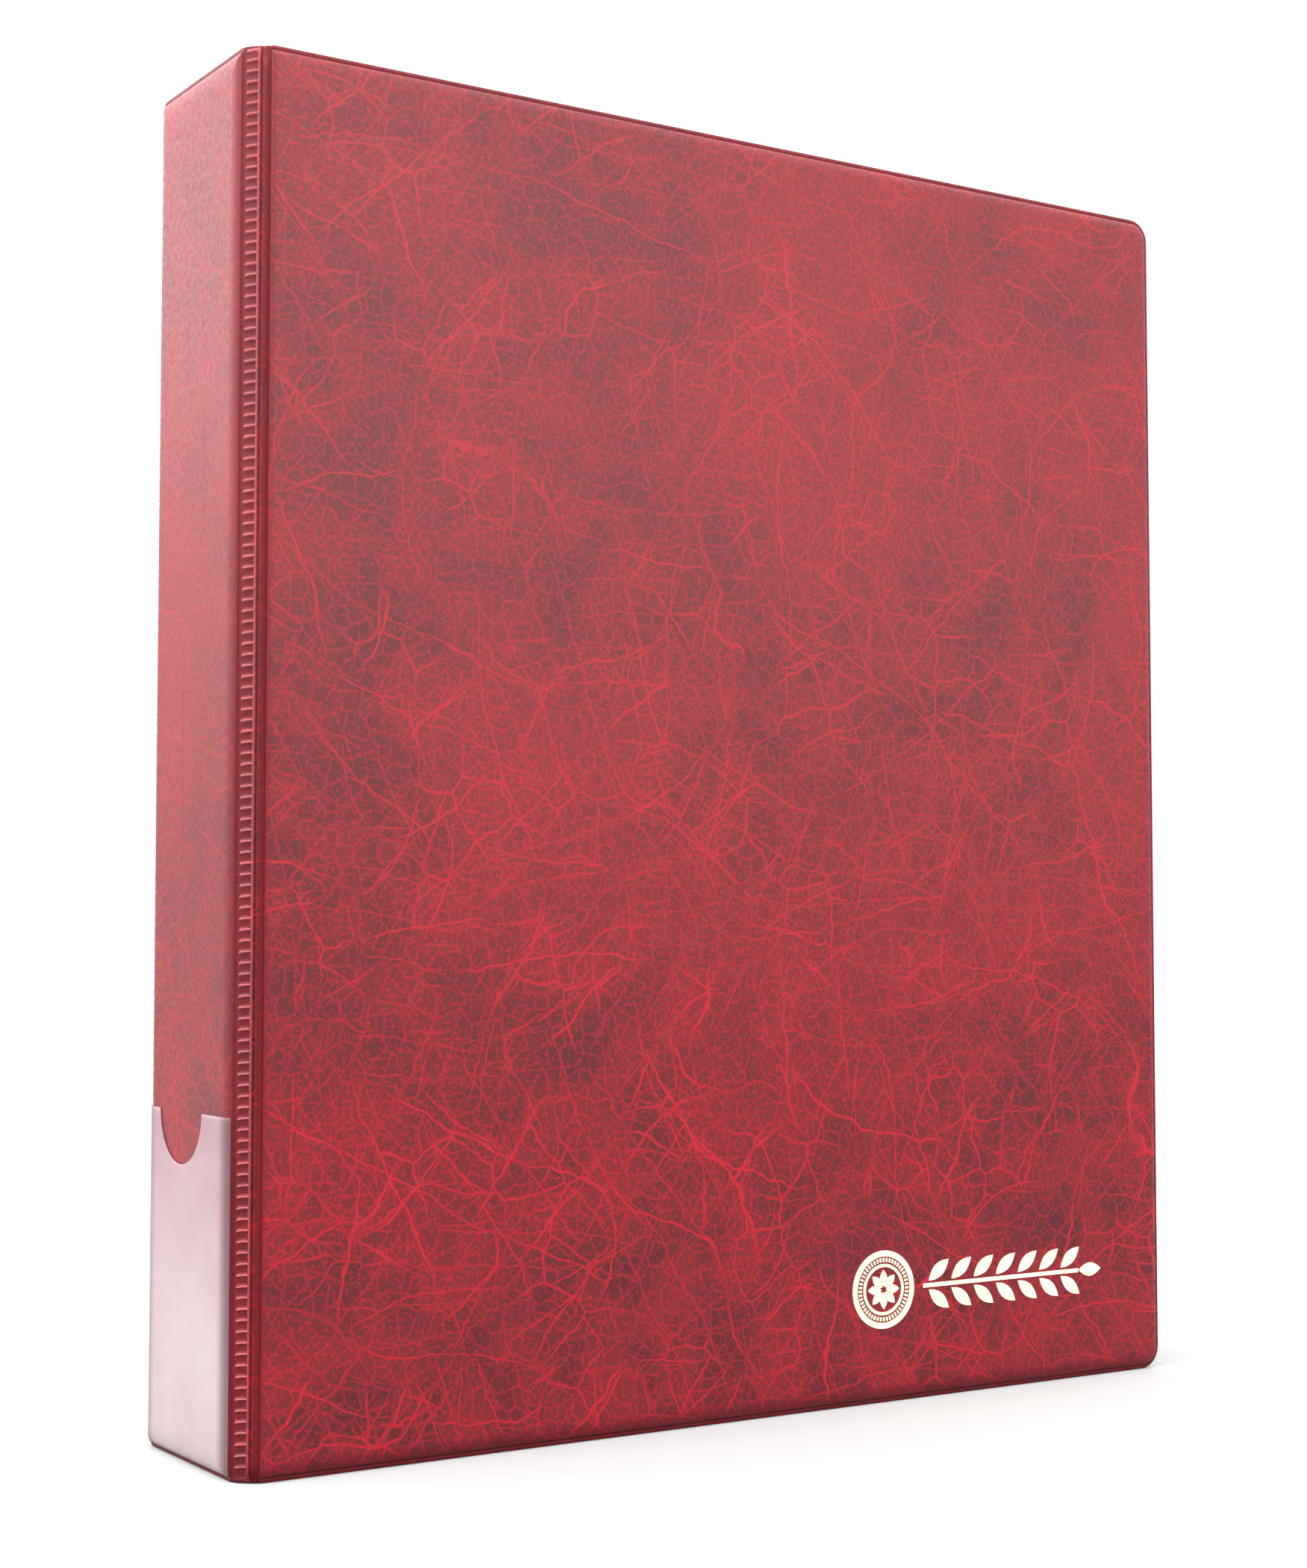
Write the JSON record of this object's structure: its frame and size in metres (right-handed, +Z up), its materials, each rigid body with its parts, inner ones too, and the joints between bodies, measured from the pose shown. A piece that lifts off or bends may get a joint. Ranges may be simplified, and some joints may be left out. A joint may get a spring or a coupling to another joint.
{
  "type": "coin album",
  "caption": "Upright ring-binder album with padded vinyl covers, a label pocket on the spine, a lever ring mechanism and clear punched coin pages.",
  "frame": {"origin": "middle of the closed album's footprint, on the surface it stands on", "axes": "+Z up along the spine, front cover faces -Y, spine faces -X, covers open at +X"},
  "size_m": [0.2364, 0.05, 0.275],
  "materials": {
    "marbled_vinyl": "burgundy marbled PVC, semi-gloss",
    "lining_vinyl": "plain dark burgundy PVC, fine grain",
    "greyboard": "raw greyboard",
    "clear_film": "hazy clear PVC film",
    "nickel": "nickel-plated spring steel",
    "page_film": "clear soft PVC"
  },
  "bodies": {
    "spine": {"spine_outer_skin": "marbled_vinyl", "spine_board": "greyboard", "spine_lining": "lining_vinyl", "label_pocket": "clear_film", "ring_case": "nickel", "case_rivet_1": "nickel", "case_rivet_2": "nickel", "top_lever_pin": "nickel", "bottom_lever_pin": "nickel"},
    "front_hinge": {"front_hinge_strip": "marbled_vinyl"},
    "front_cover": {"front_cover_outer_skin": "marbled_vinyl", "front_cover_board": "greyboard", "front_cover_lining": "lining_vinyl"},
    "back_hinge": {"back_hinge_strip": "marbled_vinyl"},
    "back_cover": {"back_cover_outer_skin": "marbled_vinyl", "back_cover_board": "greyboard", "back_cover_lining": "lining_vinyl"},
    "front_rings": {"front_blade": "nickel", "front_half_ring_1": "nickel", "front_half_ring_2": "nickel", "front_half_ring_3": "nickel", "front_half_ring_4": "nickel"},
    "back_rings": {"back_blade": "nickel", "back_half_ring_1": "nickel", "back_half_ring_2": "nickel", "back_half_ring_3": "nickel", "back_half_ring_4": "nickel"},
    "top_lever": {"top_lever": "nickel"},
    "bottom_lever": {"bottom_lever": "nickel"},
    "coin_page_01": {"coin_page_01": "page_film"},
    "coin_page_02": {"coin_page_02": "page_film"},
    "coin_page_03": {"coin_page_03": "page_film"},
    "coin_page_04": {"coin_page_04": "page_film"},
    "coin_page_05": {"coin_page_05": "page_film"},
    "coin_page_06": {"coin_page_06": "page_film"},
    "coin_page_07": {"coin_page_07": "page_film"},
    "coin_page_08": {"coin_page_08": "page_film"},
    "coin_page_09": {"coin_page_09": "page_film"},
    "coin_page_10": {"coin_page_10": "page_film"}
  },
  "joints": [
    {"name": "front_hinge_fold", "type": "hinge", "parent": "spine", "child": "front_hinge", "pos_m": [-0.11625, -0.0204, 0.1375], "axis": [0, 0, -1], "range_deg": [0, 90]},
    {"name": "front_cover_fold", "type": "hinge", "parent": "front_hinge", "child": "front_cover", "pos_m": [-0.11315, -0.0235, 0.1375], "axis": [0, 0, -1], "range_deg": [0, 90]},
    {"name": "back_hinge_fold", "type": "hinge", "parent": "spine", "child": "back_hinge", "pos_m": [-0.11625, 0.0204, 0.1375], "axis": [0, 0, 1], "range_deg": [0, 90]},
    {"name": "back_cover_fold", "type": "hinge", "parent": "back_hinge", "child": "back_cover", "pos_m": [-0.11315, 0.0235, 0.1375], "axis": [0, 0, 1], "range_deg": [0, 90]},
    {"name": "front_rings_open", "type": "hinge", "parent": "spine", "child": "front_rings", "pos_m": [-0.11245, -0.0083, 0.1375], "axis": [0, 0, -1], "range_deg": [0, 9.5]},
    {"name": "back_rings_open", "type": "hinge", "parent": "spine", "child": "back_rings", "pos_m": [-0.11245, 0.0083, 0.1375], "axis": [0, 0, 1], "range_deg": [0, 9.5]},
    {"name": "top_lever_press", "type": "hinge", "parent": "spine", "child": "top_lever", "pos_m": [-0.11185, 0, 0.26], "axis": [0, -1, 0], "range_deg": [0, 19]},
    {"name": "bottom_lever_press", "type": "hinge", "parent": "spine", "child": "bottom_lever", "pos_m": [-0.11185, 0, 0.015], "axis": [0, 1, 0], "range_deg": [0, 19]},
    {"name": "coin_page_01_turn", "type": "hinge", "parent": "spine", "child": "coin_page_01", "pos_m": [-0.09675, 0, 0.1375], "axis": [0, 0, -1], "range_deg": [0, 97.2]},
    {"name": "coin_page_02_turn", "type": "hinge", "parent": "spine", "child": "coin_page_02", "pos_m": [-0.09675, 0, 0.1375], "axis": [0, 0, -1], "range_deg": [0, 95.4]},
    {"name": "coin_page_03_turn", "type": "hinge", "parent": "spine", "child": "coin_page_03", "pos_m": [-0.09675, 0, 0.1375], "axis": [0, 0, -1], "range_deg": [0, 93.6]},
    {"name": "coin_page_04_turn", "type": "hinge", "parent": "spine", "child": "coin_page_04", "pos_m": [-0.09675, 0, 0.1375], "axis": [0, 0, -1], "range_deg": [0, 91.8]},
    {"name": "coin_page_05_turn", "type": "hinge", "parent": "spine", "child": "coin_page_05", "pos_m": [-0.09675, 0, 0.1375], "axis": [0, 0, -1], "range_deg": [0, 90]},
    {"name": "coin_page_06_turn", "type": "hinge", "parent": "spine", "child": "coin_page_06", "pos_m": [-0.09675, 0, 0.1375], "axis": [0, 0, 1], "range_deg": [0, 90]},
    {"name": "coin_page_07_turn", "type": "hinge", "parent": "spine", "child": "coin_page_07", "pos_m": [-0.09675, 0, 0.1375], "axis": [0, 0, 1], "range_deg": [0, 91.8]},
    {"name": "coin_page_08_turn", "type": "hinge", "parent": "spine", "child": "coin_page_08", "pos_m": [-0.09675, 0, 0.1375], "axis": [0, 0, 1], "range_deg": [0, 93.6]},
    {"name": "coin_page_09_turn", "type": "hinge", "parent": "spine", "child": "coin_page_09", "pos_m": [-0.09675, 0, 0.1375], "axis": [0, 0, 1], "range_deg": [0, 95.4]},
    {"name": "coin_page_10_turn", "type": "hinge", "parent": "spine", "child": "coin_page_10", "pos_m": [-0.09675, 0, 0.1375], "axis": [0, 0, 1], "range_deg": [0, 97.2]}
  ],
  "couplings": [
    {"joint": "front_hinge_fold", "follows": "front_cover_fold", "ratio": 1},
    {"joint": "back_hinge_fold", "follows": "back_cover_fold", "ratio": 1},
    {"joint": "back_rings_open", "follows": "front_rings_open", "ratio": 1},
    {"joint": "top_lever_press", "follows": "front_rings_open", "ratio": 2},
    {"joint": "bottom_lever_press", "follows": "front_rings_open", "ratio": 2},
    {"joint": "coin_page_01_turn", "follows": "front_cover_fold", "ratio": 1.08},
    {"joint": "coin_page_02_turn", "follows": "front_cover_fold", "ratio": 1.06},
    {"joint": "coin_page_03_turn", "follows": "front_cover_fold", "ratio": 1.04},
    {"joint": "coin_page_04_turn", "follows": "front_cover_fold", "ratio": 1.02},
    {"joint": "coin_page_05_turn", "follows": "front_cover_fold", "ratio": 1},
    {"joint": "coin_page_06_turn", "follows": "back_cover_fold", "ratio": 1},
    {"joint": "coin_page_07_turn", "follows": "back_cover_fold", "ratio": 1.02},
    {"joint": "coin_page_08_turn", "follows": "back_cover_fold", "ratio": 1.04},
    {"joint": "coin_page_09_turn", "follows": "back_cover_fold", "ratio": 1.06},
    {"joint": "coin_page_10_turn", "follows": "back_cover_fold", "ratio": 1.08}
  ]
}
